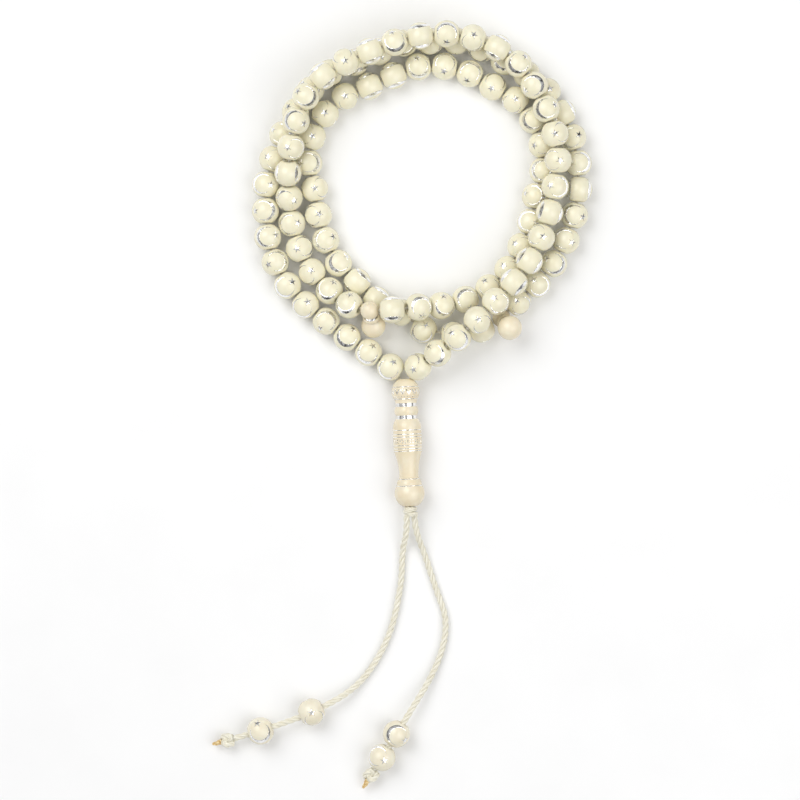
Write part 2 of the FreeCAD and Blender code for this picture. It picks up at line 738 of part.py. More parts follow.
def build():
    make_sheet()
    step = NUMBER["bead_length"] + NUMBER["bead_gap"]
    lean = math.radians(IMAM_LEAN)
    down = Vector(math.sin(lean), -math.cos(lean), 0)
    side = Vector(down.y, -down.x, 0)
    outline, head_middle, imam_length = imam_outline()
    axis_height = NUMBER["imam_foot"] / 2 + TABLE_GAP
    mouth = Vector(TURNS[2][-1][0] * step, TURNS[2][-1][1] * step, axis_height)
    top = mouth + down * MOUTH_RISE
    foot = top + down * imam_length.number

    strand = Strand(mouth, down, head_middle.number)
    laid = strand.lay()
    pieces = laid[:strand.count]
    left = side * LEG_OFFSET
    knot_top = foot + down * KNOT_GAP
    directions = string_directions([mouth + left, *pieces, mouth - left])
    corners = eased([mouth + left, *pieces, mouth - left], NUMBER["bead_length"])
    route = [knot_top + left, *corners, knot_top - left]

    keep(turned_body("imam", outline), Placement(top, turned_to(down)))
    places["imam"] = (foot, down)
    beads = [item for item in range(strand.count) if item not in strand.markers]
    make_strand_beads([pieces[item] for item in beads], [directions[item] for item in beads])
    for number, item, ball in zip((2, 1), strand.markers, laid[strand.count:]):
        make_marker(number, pieces[item], ball, directions[item])

    keep(tube("loop_string", route, NUMBER["string_diameter"]))
    knot = turned_body("tie_knot", knot_outline(size("tie_knot_diameter"), size("tie_knot_length"),
                                                size("tie_knot_flat")))
    keep(knot, Placement(knot_top, turned_to(down)))
    left_route = tail_route(LEFT_TAIL, foot, down)
    right_route = tail_route(RIGHT_TAIL, foot, down)
    make_tail("left", left_route, spaced_beads(left_route))
    make_tail("right", right_route, close_beads(right_route))
    document.recompute()
    centre_on_origin()


def centre_on_origin():
    """Shift every sub-part so that the strand and the imam are centred over the origin."""
    box = FreeCAD.BoundBox()
    for feature in parts:
        if not feature.Label.startswith(("tail_", "end_")):
            box.add(feature.Shape.optimalBoundingBox(False))
    shift = Vector(-(box.XMin + box.XMax) / 2, -(box.YMin + box.YMax) / 2, -box.ZMin)
    for feature in parts:
        feature.Placement = Placement(shift, Rotation()).multiply(feature.Placement)
    for name, (point, direction) in places.items():
        places[name] = (point + shift, direction)
    print(f"origin shift {shift.x:.3f} {shift.y:.3f} {shift.z:.3f}")


def write():
    """Stop if anything failed, then write each sub-part to its own file."""
    document.recompute()
    for feature in document.Objects:
        if "Invalid" in feature.State or "Error" in feature.State:
            raise RuntimeError(feature.Label + " failed: " + str(feature.State))
    os.makedirs("parts", exist_ok=True)
    for feature in parts:
        if feature.Shape.isNull() or not feature.Shape.isValid():
            raise RuntimeError(feature.Label + " has no valid shape")
        feature.Shape.exportStep(f"parts/{feature.Label}.step")
    print(f"{len(parts)} sub-parts, {sum(len(f.Shape.Solids) for f in parts)} solids")


build()
write()
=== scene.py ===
import json
import math
import random

import bmesh
import bpy
import numpy
from mathutils import Matrix, Vector
from mathutils.geometry import delaunay_2d_cdt


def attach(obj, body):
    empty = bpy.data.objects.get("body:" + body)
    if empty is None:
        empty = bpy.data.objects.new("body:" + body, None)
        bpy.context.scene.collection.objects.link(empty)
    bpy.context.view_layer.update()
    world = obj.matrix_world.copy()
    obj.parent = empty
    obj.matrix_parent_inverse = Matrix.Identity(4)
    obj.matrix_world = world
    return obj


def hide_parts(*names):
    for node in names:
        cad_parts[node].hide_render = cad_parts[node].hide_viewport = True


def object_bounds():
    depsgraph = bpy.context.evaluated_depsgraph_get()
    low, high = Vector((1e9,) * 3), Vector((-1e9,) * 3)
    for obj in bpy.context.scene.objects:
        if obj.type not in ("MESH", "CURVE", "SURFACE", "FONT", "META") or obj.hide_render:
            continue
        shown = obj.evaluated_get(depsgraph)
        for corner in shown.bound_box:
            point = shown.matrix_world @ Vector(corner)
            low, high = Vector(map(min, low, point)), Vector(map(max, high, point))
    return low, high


# The looks of a misbaha: cream beads with inlaid silver crescents and stars, two markers, an imam,
# and two twisted tails. Every piece takes its place from the frame. Lengths are in metres; sizes
# that are easier to read in millimetres are written as a number times MM.

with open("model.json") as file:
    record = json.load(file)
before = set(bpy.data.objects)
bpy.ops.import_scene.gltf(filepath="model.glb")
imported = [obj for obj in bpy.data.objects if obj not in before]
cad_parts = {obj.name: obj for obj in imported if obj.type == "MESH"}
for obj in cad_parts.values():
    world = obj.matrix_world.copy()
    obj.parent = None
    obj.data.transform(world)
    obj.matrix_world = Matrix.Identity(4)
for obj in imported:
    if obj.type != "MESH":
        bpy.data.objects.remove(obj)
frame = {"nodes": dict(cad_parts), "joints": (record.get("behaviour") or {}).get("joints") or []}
cad_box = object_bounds()
random.seed(33)

MM = 0.001
UP = Vector((0, 0, 1))
RESIN, SILVER = 0, 1       # material slots of every inlaid piece
FULL_TURN = 360.0

# Counting beads and tail beads.
BEAD_RADIUS = 4.0 * MM
BEAD_LENGTH = 7.1 * MM
BEAD_BORE = 1.1 * MM
TAIL_BORE = 1.38 * MM
BORE_BEVEL = 0.25 * MM
BEAD_COLUMNS = 48
BEAD_ROWS = 17
BEAD_CLEAR = 2.2           # how far the grid keeps from an inlay, in degrees

# The bead's decoration, as angles in degrees on the ball, along its equator and across it.
CRESCENT_AT = 90.0
CRESCENT_RADIUS = 50.0
CRESCENT_HOLLOW = 41.5
CRESCENT_SHIFT = 10.5
STAR_AT = 138.0
STAR_TIP = 21.0
STAR_WAIST = 7.2
# Each inlay is a rim, a gutter just inside it and a crest further in, with their insets.
INLAY_INSETS = (0.0, 0.4, 1.9)
INLAY_DEPTHS = (0.0, 0.07 * MM, 0.0)

# What each bead of the top turn shows upwards, from the first marker to the imam: a crescent (C),
# a star (S), both (B) or the edges of two crescents (E). Small letters show the other side.
TOP_TURN = "CCsSBbEscCEsECEcSECCcSSbEsEESSBCs"
FACING = {"C": 92.0, "S": 132.0, "B": 108.0, "E": 0.0}
FIRST_THREE = "BBC"        # the beads of the lowest turn beside the imam


# ---------------------------------------------------------------- materials

def new_material(name):
    """A material with only its shader and output: (material, nodes, links, shader)."""
    material = bpy.data.materials.new(name)
    material.use_nodes = True
    nodes = material.node_tree.nodes
    return material, nodes, material.node_tree.links, nodes["Principled BSDF"]


def noise(nodes, links, scale, detail=4.0, roughness=0.5):
    """Noise over the piece's own coordinates."""
    place = nodes.new("ShaderNodeTexCoord")
    texture = nodes.new("ShaderNodeTexNoise")
    texture.inputs["Scale"].default_value = scale
    texture.inputs["Detail"].default_value = detail
    texture.inputs["Roughness"].default_value = roughness
    links.new(place.outputs["Object"], texture.inputs["Vector"])
    return texture.outputs["Fac"]


def ramp(nodes, links, factor, *stops):
    """A colour ramp: stops are (position, colour)."""
    blend = nodes.new("ShaderNodeValToRGB")
    elements = blend.color_ramp.elements
    for element, (position, colour) in zip(elements, stops):
        element.position = position
        element.color = (*colour, 1.0)
    for position, colour in stops[2:]:
        elements.new(position).color = (*colour, 1.0)
    links.new(factor, blend.inputs["Fac"])
    return blend.outputs["Color"]


def spread(nodes, links, factor, low, high):
    """A factor from 0 to 1 taken to a range."""
    mapping = nodes.new("ShaderNodeMapRange")
    mapping.inputs["To Min"].default_value = low
    mapping.inputs["To Max"].default_value = high
    links.new(factor, mapping.inputs["Value"])
    return mapping.outputs["Result"]


def bump(nodes, links, shader, height, strength, distance):
    """Bump from a height on the shader's normal."""
    bumps = nodes.new("ShaderNodeBump")
    bumps.inputs["Strength"].default_value = strength
    bumps.inputs["Distance"].default_value = distance
    links.new(height, bumps.inputs["Height"])
    links.new(bumps.outputs["Normal"], shader.inputs["Normal"])


def resin(name, light, dark):
    """Polished cream resin with faint clouds and a lightly uneven gloss."""
    material, nodes, links, shader = new_material(name)
    clouds = noise(nodes, links, 260.0, 5.0, 0.6)
    colour = ramp(nodes, links, clouds, (0.35, dark), (0.68, light))
    links.new(colour, shader.inputs["Base Color"])
    gloss = noise(nodes, links, 900.0, 3.0)
    links.new(spread(nodes, links, gloss, 0.13, 0.24), shader.inputs["Roughness"])
    shader.inputs["IOR"].default_value = 1.5
    shader.inputs["Subsurface Weight"].default_value = 0.12
    shader.inputs["Subsurface Radius"].default_value = (1.0, 0.8, 0.5)
    shader.inputs["Subsurface Scale"].default_value = 0.6 * MM
    wear = noise(nodes, links, 2600.0, 6.0, 0.7)
    bump(nodes, links, shader, wear, 0.05, 0.03 * MM)
    return material


def silver():
    """Polished silver, worked by hand, so a little uneven."""
    material, nodes, links, shader = new_material("silver")
    tone = noise(nodes, links, 1500.0, 4.0, 0.6)
    colour = ramp(nodes, links, tone, (0.3, (0.62, 0.62, 0.63)), (0.55, (0.97, 0.97, 0.97)))
    links.new(colour, shader.inputs["Base Color"])
    shader.inputs["Metallic"].default_value = 1.0
    links.new(spread(nodes, links, tone, 0.08, 0.22), shader.inputs["Roughness"])
    dents = noise(nodes, links, 1900.0, 2.0)
    bump(nodes, links, shader, dents, 0.55, 0.12 * MM)
    return material


def cord_fibre(name, light, dark, threads):
    """Satin fibres that run along a ply: u goes round it and v along it, in metres."""
    material, nodes, links, shader = new_material(name)
    place = nodes.new("ShaderNodeTexCoord")
    stretch = nodes.new("ShaderNodeMapping")
    stretch.inputs["Scale"].default_value = (threads, 350.0, 1.0)
    links.new(place.outputs["UV"], stretch.inputs["Vector"])
    fibres = nodes.new("ShaderNodeTexNoise")
    fibres.inputs["Scale"].default_value = 1.0
    fibres.inputs["Detail"].default_value = 5.0
    links.new(stretch.outputs["Vector"], fibres.inputs["Vector"])
    colour = ramp(nodes, links, fibres.outputs["Fac"], (0.3, dark), (0.62, light))
    links.new(colour, shader.inputs["Base Color"])
    links.new(spread(nodes, links, fibres.outputs["Fac"], 0.5, 0.35), shader.inputs["Roughness"])
    shader.inputs["Sheen Weight"].default_value = 0.25
    shader.inputs["Sheen Roughness"].default_value = 0.4
    bump(nodes, links, shader, fibres.outputs["Fac"], 0.6, 0.08 * MM)
    return material


def melted():
    """Cord ends melted to an amber bead of nylon."""
    material, nodes, links, shader = new_material("melted_nylon")
    scorch = noise(nodes, links, 1400.0, 4.0, 0.6)
    colour = ramp(nodes, links, scorch, (0.36, (0.62, 0.38, 0.12)), (0.62, (0.93, 0.76, 0.42)))
    links.new(colour, shader.inputs["Base Color"])
    links.new(spread(nodes, links, scorch, 0.2, 0.45), shader.inputs["Roughness"])
    bump(nodes, links, shader, scorch, 0.7, 0.15 * MM)
    return material


def backdrop():
    """The pale table that everything lies on."""
    material, nodes, links, shader = new_material("backdrop")
    grain = noise(nodes, links, 40.0)
    colour = ramp(nodes, links, grain, (0.3, (0.93, 0.93, 0.93)), (0.7, (0.95, 0.95, 0.95)))
    links.new(colour, shader.inputs["Base Color"])
    shader.inputs["Roughness"].default_value = 0.7
    shader.inputs["Specular IOR Level"].default_value = 0.2
    return material


BEAD_RESIN = resin("bead_resin", (0.93, 0.89, 0.70), (0.88, 0.83, 0.62))
TAIL_RESIN = resin("tail_bead_resin", (0.92, 0.87, 0.71), (0.87, 0.80, 0.62))
TURNED_RESIN = resin("turned_resin", (0.90, 0.82, 0.64), (0.85, 0.74, 0.53))
SILVER_METAL = silver()
CORD_SATIN = cord_fibre("tail_cord_satin", (0.93, 0.91, 0.80), (0.72, 0.67, 0.51), 14.0)
STRING_COTTON = cord_fibre("string_cotton", (0.86, 0.83, 0.74), (0.62, 0.57, 0.45), 8.0)
MELTED_END = melted()


# ---------------------------------------------------------------- meshes

def add_mesh(name, work, materials, smooth_angle=32.0):
    """A shaded object from a bmesh, which it frees."""
    bmesh.ops.remove_doubles(work, verts=work.verts, dist=0.001 * MM)
    bmesh.ops.recalc_face_normals(work, faces=work.faces)
    mesh = bpy.data.meshes.new(name)
    work.to_mesh(mesh)
    work.free()
    for material in materials:
        mesh.materials.append(material)
    mesh.shade_smooth()
    mesh.set_sharp_from_angle(angle=math.radians(smooth_angle))
    piece = bpy.data.objects.new(name, mesh)
    bpy.context.scene.collection.objects.link(piece)
    return piece


def put(piece, body, nodes):
    """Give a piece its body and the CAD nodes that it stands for."""
    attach(piece, body)
    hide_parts(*nodes)


def turned_point(x, radius, degrees):
    """A point of a turned piece, whose own axis is X: 0 degrees is up, and it turns towards -Y."""
    angle = math.radians(degrees)
    return Vector((x, -radius * math.sin(angle), radius * math.cos(angle)))


def lathe(work, corners, columns, silver_runs=()):
    """Turn a line of (x, radius) corners. silver_runs are the indexes of the silver stretches."""
    rings = []
    for x, radius in corners:
        rings.append([work.verts.new(turned_point(x, radius, 360.0 * k / columns))
                      for k in range(columns)])
    for index, (ring, after) in enumerate(zip(rings, rings[1:])):
        for k in range(columns):
            other = (k + 1) % columns
            face = work.faces.new((ring[k], ring[other], after[other], after[k]))
            face.material_index = SILVER if index in silver_runs else RESIN


def inlaid_band(work, surface, low, high, columns, rows, inlays, clear):
    """A band of a turned surface with silver let into it.

    surface(u, v, depth) is a point of the piece, u in degrees round it and v from low to high.
    Each inlay has a rim, a gutter and a crest outline. Grid points keep clear of every outline.
    """
    outlines = [outline for inlay in inlays for outline in inlay]
    points = [(0.0, low), (FULL_TURN, low), (FULL_TURN, high), (0.0, high)]
    depths = [0.0] * len(points)
    faces = [list(range(len(points)))]
    for inlay in inlays:
        for outline, depth in zip(inlay, INLAY_DEPTHS):
            start = len(points)
            points += outline
            depths += [depth] * len(outline)
            faces.append(list(range(start, len(points))))
    marks = numpy.array([point for outline in outlines for point in outline])
    for row in range(rows + 1):
        for column in range(columns + 1):
            u = FULL_TURN * column / columns
            v = low + (high - low) * row / rows
            at_end = row in (0, rows)
            at_seam = column in (0, columns)
            if at_end and at_seam:
                continue
            if at_end or at_seam or numpy.abs(marks - (u, v)).max(axis=1).min() > clear:
                points.append((u, v))
                depths.append(0.0)
    flat = [Vector(point) for point in points]
    found = delaunay_2d_cdt(flat, [], faces, 1, 1e-6)
    spots, triangles, sources, face_from = found[0], found[2], found[3], found[5]
    verts = []
    for spot, source in zip(spots, sources):
        depth = depths[source[0]] if source else 0.0
        verts.append(work.verts.new(surface(spot.x, spot.y, depth)))
    gutters = {len(INLAY_INSETS) * index + 2 for index in range(len(inlays))}
    for triangle, origin in zip(triangles, face_from):
        face = work.faces.new([verts[index] for index in triangle])
        face.material_index = SILVER if gutters.intersection(origin) else RESIN


def ball_circle(centre, radius, bearings):
    """Points of a circle on the ball, as (longitude, latitude) in degrees."""
    points = []
    reach = math.radians(radius)
    for bearing in bearings:
        latitude = math.asin(math.sin(reach) * math.sin(bearing))
        longitude = math.atan2(math.sin(reach) * math.cos(bearing), math.cos(reach))
        points.append((centre + math.degrees(longitude), math.degrees(latitude)))
    return points


def crossing(near, far, shift):
    """The bearing at which the circle of radius near meets that of radius far, shift away."""
    near, far, shift = math.radians(near), math.radians(far), math.radians(shift)
    cosine = (math.cos(far) - math.cos(near) * math.cos(shift)) / (math.sin(near) * math.sin(shift))
    return math.acos(max(-1.0, min(1.0, cosine)))


def evenly(start, end, count):
    """Numbers from start to end in equal steps."""
    return [start + (end - start) * k / count for k in range(count + 1)]


def crescent(side, inset):
    """A crescent on the equator of the ball that opens towards its star."""
    outer = CRESCENT_RADIUS - inset
    inner = CRESCENT_HOLLOW + inset
    horn = crossing(outer, inner, CRESCENT_SHIFT)
    hollow_horn = math.pi - crossing(inner, outer, CRESCENT_SHIFT)
    points = ball_circle(0.0, outer, evenly(horn, 2 * math.pi - horn, 34))
    back = ball_circle(CRESCENT_SHIFT, inner, evenly(2 * math.pi - hollow_horn, hollow_horn, 30))
    points += back[1:-1]
    return [(side * (CRESCENT_AT + u) % 360.0, v) for u, v in points][::int(side)]


def star(side, inset):
    """A five-pointed star on the equator of the ball, with one arm towards a bead's end."""
    points = []
    for index in range(10):
        radius = (STAR_WAIST - 0.8 * inset) if index % 2 else (STAR_TIP - 2.4 * inset)
        points += ball_circle(0.0, radius, [math.pi / 2 + index * math.pi / 5])
    return [(side * (STAR_AT + u) % 360.0, v) for u, v in points][::int(side)]


def bead_surface(u, v, depth):
    """The ball of a bead: u is the longitude and v the latitude, in degrees."""
    radius = BEAD_RADIUS - depth
    latitude = math.radians(v)
    return turned_point(radius * math.sin(latitude), radius * math.cos(latitude), u)


def bead_mesh(name, bore, resin_material):
    """The mesh of an inlaid bead, with its middle at the origin and its bore along X."""
    work = bmesh.new()
    inlays = []
    for side in (1, -1):
        for shape in (crescent, star):
            inlays.append([shape(side, inset) for inset in INLAY_INSETS])
    edge = math.degrees(math.asin(BEAD_LENGTH / 2 / BEAD_RADIUS))
    inlaid_band(work, bead_surface, -edge, edge, BEAD_COLUMNS, BEAD_ROWS, inlays, BEAD_CLEAR)
    flat = BEAD_RADIUS * math.cos(math.radians(edge))
    end = BEAD_LENGTH / 2
    mouth = bore + BORE_BEVEL
    lathe(work, [(-end, flat), (-end, mouth), (BORE_BEVEL - end, bore), (end - BORE_BEVEL, bore),
                 (end, mouth), (end, flat)], BEAD_COLUMNS)
    template = add_mesh(name, work, (resin_material, SILVER_METAL))
    mesh = template.data
    bpy.data.objects.remove(template)
    return mesh


# ---------------------------------------------------------------- places from the frame

def solids_of(node):
    """The solids of a CAD node in the order of its mesh: a list of (points, triangles)."""
    work = bmesh.new()
    work.from_mesh(frame["nodes"][node].data)
    bmesh.ops.remove_doubles(work, verts=work.verts, dist=0.0005 * MM)
    bmesh.ops.triangulate(work, faces=work.faces)
    work.verts.index_update()
    group = list(range(len(work.verts)))

    def root(index):
        while group[index] != index:
            group[index] = group[group[index]]
            index = group[index]
        return index

    for edge in work.edges:
        a, b = root(edge.verts[0].index), root(edge.verts[1].index)
        group[max(a, b)] = min(a, b)
    places = numpy.array([vert.co for vert in work.verts])
    triangles = {}
    for face in work.faces:
        corners = [vert.index for vert in face.verts]
        triangles.setdefault(root(corners[0]), []).append(places[corners])
    work.free()
    return [numpy.array(triangles[first]) for first in sorted(triangles)]


def bead_place(triangles):
    """A bead's middle and bore direction, from its triangles: normals lean least along the bore."""
    normals = numpy.cross(triangles[:, 1] - triangles[:, 0], triangles[:, 2] - triangles[:, 0])
    areas = numpy.linalg.norm(normals, axis=1)
    normals = normals[areas > 0] / areas[areas > 0][:, None]
    weights = areas[areas > 0]
    spin = numpy.linalg.eigh((normals * weights[:, None]).T @ normals)[1][:, 0]
    middles = triangles[areas > 0].mean(axis=1)
    centre = (middles * weights[:, None]).sum(axis=0) / weights.sum()
    return Vector(centre), Vector(spin).normalized()


def laid(middle, axis, degrees):
    """The matrix that lays a turned piece along an axis with one of its longitudes upwards."""
    up = (UP - axis * UP.dot(axis)).normalized()
    side = up.cross(axis)
    turn = Matrix((axis, side, up)).transposed().to_4x4()
    return Matrix.Translation(middle) @ turn @ Matrix.Rotation(math.radians(degrees), 4, "X")


def roll_for(letter):
    """How far a bead is rolled to show what its letter says, a little unevenly."""
    angle = FACING[letter.upper()] + random.uniform(-9.0, 9.0)
    return angle if letter.isupper() else -angle


# ---------------------------------------------------------------- beads

def single_beads():
    """The beads of the top turn, each on its own body."""
    mesh = bead_mesh("counting_bead", BEAD_BORE, BEAD_RESIN)
    labels = sorted(node for node in frame["nodes"] if node.startswith("counting_bead_"))
    for label, letter in zip(labels, TOP_TURN):
        middle, axis = bead_place(solids_of(label)[0])
        piece = bpy.data.objects.new(label + "_look", mesh)
        bpy.context.scene.collection.objects.link(piece)
        piece.matrix_world = laid(middle, axis, roll_for(letter))
        put(piece, label, [label])
    return mesh


def grouped_beads(mesh):
    """The beads of the two lower turns, one piece for each group."""
    labels = sorted(node for node in frame["nodes"] if node.startswith("counting_beads_"))
    letters = list(FIRST_THREE)
    for label in labels:
        work = bmesh.new()
        for triangles in solids_of(label):
            letter = letters.pop(0) if letters else random.choice("CcSsBbE")
            middle, axis = bead_place(triangles)
            start = len(work.verts)
            work.from_mesh(mesh)
            work.verts.ensure_lookup_table()
            bmesh.ops.transform(work, matrix=laid(middle, axis, roll_for(letter)),
                                verts=work.verts[start:])
        piece = add_mesh(label + "_look", work, (BEAD_RESIN, SILVER_METAL))
        put(piece, "strand", [label])


def tail_beads():
    """The two beads of each tail."""
    mesh = bead_mesh("tail_bead", TAIL_BORE, TAIL_RESIN)
    pieces = {}
    for side, letters in (("left", "SC"), ("right", "CS")):
        for place, letter in zip(("upper", "lower"), letters):
            label = f"tail_bead_{side}_{place}"
            middle, axis = bead_place(solids_of(label)[0])
            piece = bpy.data.objects.new(label + "_look", mesh)
            bpy.context.scene.collection.objects.link(piece)
            piece.matrix_world = laid(middle, axis, roll_for(letter))
            put(piece, label, [label])
            pieces.setdefault(side, []).append(piece)
    return pieces


# ---------------------------------------------------------------- imam and markers

TURNED_COLUMNS = 96
LINE_WIDTH = 0.2 * MM
LINE_DEPTH = 0.07 * MM
LEAF_INSETS = (0.0, 0.03 * MM, 0.09 * MM)
LEAF_POINTS = 10
LEAF_CLEAR = 1.8           # how far the grid keeps from a leaf, in degrees of the chart
# Bands of the imam that carry leaves, and its fine lines, as distances from its mouth.
HEAD_BAND = (2.6 * MM, 5.6 * MM)
ROSETTE_BAND = (17.25 * MM, 19.25 * MM)
HEAD_LINE = 2.35 * MM
NECK_LINE = 5.85 * MM
UPPER_LINES = (15.0 * MM, 16.2 * MM, 17.0 * MM)
LOWER_LINES = (19.5 * MM, 20.4 * MM, 21.1 * MM)
CUFF_LINE = 29.3 * MM
FOOT_LINE = 31.3 * MM
# The imam's leaves: round it, along it, length and width in millimetres, and lean in degrees.
HEAD_MOTIF = (
    (-0.40, 3.70, 1.75, 0.46, 62.0), (0.40, 3.70, 1.75, 0.46, 118.0), (0.0, 4.42, 0.62, 0.40, 90.0),
    (0.0, 2.98, 0.50, 0.34, 0.0), (-0.69, 4.42, 0.40, 0.30, 0.0), (0.69, 2.98, 0.36, 0.28, 0.0),
)
TICK_MOTIF = ((0.0, 5.20, 0.62, 0.36, 90.0),)
ROSETTE_MOTIF = (
    (-0.42, 17.85, 0.86, 0.38, 45.0), (0.42, 17.85, 0.86, 0.38, 135.0),
    (-0.42, 18.65, 0.86, 0.38, 135.0), (0.42, 18.65, 0.86, 0.38, 45.0),
    (1.12, 18.25, 1.30, 0.36, 90.0), (0.0, 18.25, 0.34, 0.30, 0.0),
)


def bulged(start, end, rise, x):
    """The radius at x on a stretch that stands off its chord by a rise in the middle."""
    share = (x - start[0]) / (end[0] - start[0])
    return start[1] + (end[1] - start[1]) * share + 4 * rise * share * (1 - share)


class Outline:
    """An outline of a turned piece, gathered corner by corner, with its silver stretches."""

    def __init__(self):
        self.corners = []
        self.silver = set()

    def add(self, points):
        self.corners += points

    def stretch(self, radius_at, start, end, lines=(), step=0.35 * MM):
        """A stretch whose radius is radius_at(x), with silver lines let into it."""
        places = [start]
        stops = sorted(lines) + [None]
        for line in stops:
            until = end if line is None else line - LINE_WIDTH / 2
            count = max(1, round((until - places[-1]) / step))
            run = evenly(places[-1], until, count)
            self.add([(x, radius_at(x)) for x in run])
            if line is not None:
                after = line + LINE_WIDTH / 2
                first = len(self.corners)
                self.add([(until + 0.03 * MM, radius_at(until) - LINE_DEPTH),
                          (after - 0.03 * MM, radius_at(after) - LINE_DEPTH)])
                self.silver.update((first - 1, first, first + 1))
                places.append(after)

    def groove(self, start, end, radius):
        """A wide groove lined with silver."""
        first = len(self.corners)
        self.add([(start, radius), (end, radius)])
        self.silver.update((first - 1, first, first + 1))

    def turn(self, work, columns):
        lathe(work, self.corners, columns, self.silver)


def petal(u, v, length, width, lean, inset, around):
    """A pointed leaf about (u, v), with its length turned by lean from the way round the piece."""
    points = []
    for k in range(LEAF_POINTS):
        angle = 2 * math.pi * k / LEAF_POINTS
        along = math.cos(angle) * (length / 2 - inset * 1.6)
        across = math.sin(angle) * abs(math.sin(angle)) * (width / 2 - inset)
        x = along * math.cos(lean) - across * math.sin(lean)
        y = along * math.sin(lean) + across * math.cos(lean)
        points.append((u + x * around, v + y))
    return points


def leaves(count, radius, motif):
    """A motif of leaves repeated round a turned piece. Each leaf is (round it, along it, length,
    width, lean), in millimetres and degrees."""
    around = math.degrees(1 / radius)
    inlays = []
    for k in range(count):
        for aside, middle, length, width, lean in motif:
            u = FULL_TURN * (k + 0.5) / count + aside * MM * around
            inlays.append([petal(u, middle * MM, length * MM, width * MM, math.radians(lean),
                                 inset, around) for inset in LEAF_INSETS])
    return inlays


def scaled_band(work, radius_at, start, end, rows, inlays):
    """An inlaid band whose chart is stretched so that both its ways count alike."""
    around = math.degrees(1 / radius_at((start + end) / 2))
    stretched = [[[(u, v * around) for u, v in outline] for outline in inlay] for inlay in inlays]

    def surface(u, v, depth):
        x = v / around
        return turned_point(x, radius_at(x) - depth, u)

    inlaid_band(work, surface, start * around, end * around, TURNED_COLUMNS, rows, stretched,
                LEAF_CLEAR)


def imam():
    """The imam, turned, with silver in its grooves, fine lines and rows of leaves."""
    joint = next(j for j in frame["joints"] if j["child"] == "imam")
    down = Vector(joint["axis"]).normalized()
    head, lip, mouth, bore = 4.1 * MM, 1.75 * MM, 1.5 * MM, 1.2 * MM
    ledge, groove, collar, shoulder = 3.15 * MM, 2.8 * MM, 3.5 * MM, 3.3 * MM
    band, waist, cuff, foot, flat = 4.2 * MM, 2.8 * MM, 3.6 * MM, 4.4 * MM, 2.3 * MM
    middle = math.sqrt(head ** 2 - lip ** 2)
    head_end = middle + math.sqrt(head ** 2 - ledge ** 2)
    ledge_end = head_end + 0.8 * MM
    groove_end = ledge_end + 1.0 * MM
    collar_end = groove_end + 2.6 * MM
    shoulder_start = collar_end + 1.0 * MM
    shoulder_end = shoulder_start + 3.0 * MM
    band_end = shoulder_end + 6.6 * MM
    waist_end = band_end + 7.5 * MM
    cuff_end = waist_end + 2.1 * MM
    foot_middle = cuff_end + math.sqrt(foot ** 2 - cuff ** 2)
    length = foot_middle + math.sqrt(foot ** 2 - flat ** 2)
    collar_edge = collar - 0.4 * MM
    band_edge = band - 0.12 * MM

    def head_at(x):
        return math.sqrt(max(head ** 2 - (x - middle) ** 2, 0.0))

    def band_at(x):
        return bulged((shoulder_end, band_edge), (band_end, band_edge), 0.12 * MM, x)

    work = bmesh.new()
    top = Outline()
    top.add([(length, bore), (2.0 * MM, bore), (0.0, mouth)])
    top.stretch(head_at, 0.0, HEAD_BAND[0], (HEAD_LINE,), 0.25 * MM)
    top.turn(work, TURNED_COLUMNS)
    scaled_band(work, head_at, *HEAD_BAND, 10,
                leaves(14, head, HEAD_MOTIF) + leaves(28, head, TICK_MOTIF))
    neck = Outline()
    neck.stretch(head_at, HEAD_BAND[1], head_end, (NECK_LINE,), 0.2 * MM)
    neck.add([(ledge_end, ledge)])
    neck.groove(ledge_end, groove_end, groove)
    neck.stretch(lambda x: bulged((groove_end, collar_edge), (collar_end, collar_edge), 0.4 * MM, x),
                 groove_end, collar_end)
    neck.groove(collar_end, shoulder_start, groove)
    neck.stretch(lambda x: bulged((shoulder_start, shoulder), (shoulder_end, band_edge), 0.3 * MM, x),
                 shoulder_start, shoulder_end)
    neck.stretch(band_at, shoulder_end, ROSETTE_BAND[0], UPPER_LINES)
    neck.turn(work, TURNED_COLUMNS)
    scaled_band(work, band_at, *ROSETTE_BAND, 8, leaves(11, band, ROSETTE_MOTIF))
    base = Outline()
    base.stretch(band_at, ROSETTE_BAND[1], band_end, LOWER_LINES)
    base.stretch(lambda x: bulged((band_end, band_edge), (waist_end, waist), -0.35 * MM, x),
                 band_end, waist_end)
    base.stretch(lambda x: bulged((waist_end, waist), (cuff_end, cuff), 0.25 * MM, x),
                 waist_end, cuff_end, (CUFF_LINE,))
    base.stretch(lambda x: math.sqrt(max(foot ** 2 - (x - foot_middle) ** 2, 0.0)),
                 cuff_end, length, (FOOT_LINE,))
    base.add([(length, bore)])
    base.turn(work, TURNED_COLUMNS)
    piece = add_mesh("imam_look", work, (TURNED_RESIN, SILVER_METAL))
    foot_point = Vector(joint["pos_m"])
    piece.matrix_world = laid(foot_point - down * length, down, 0.0)
    put(piece, "imam", ["imam"])


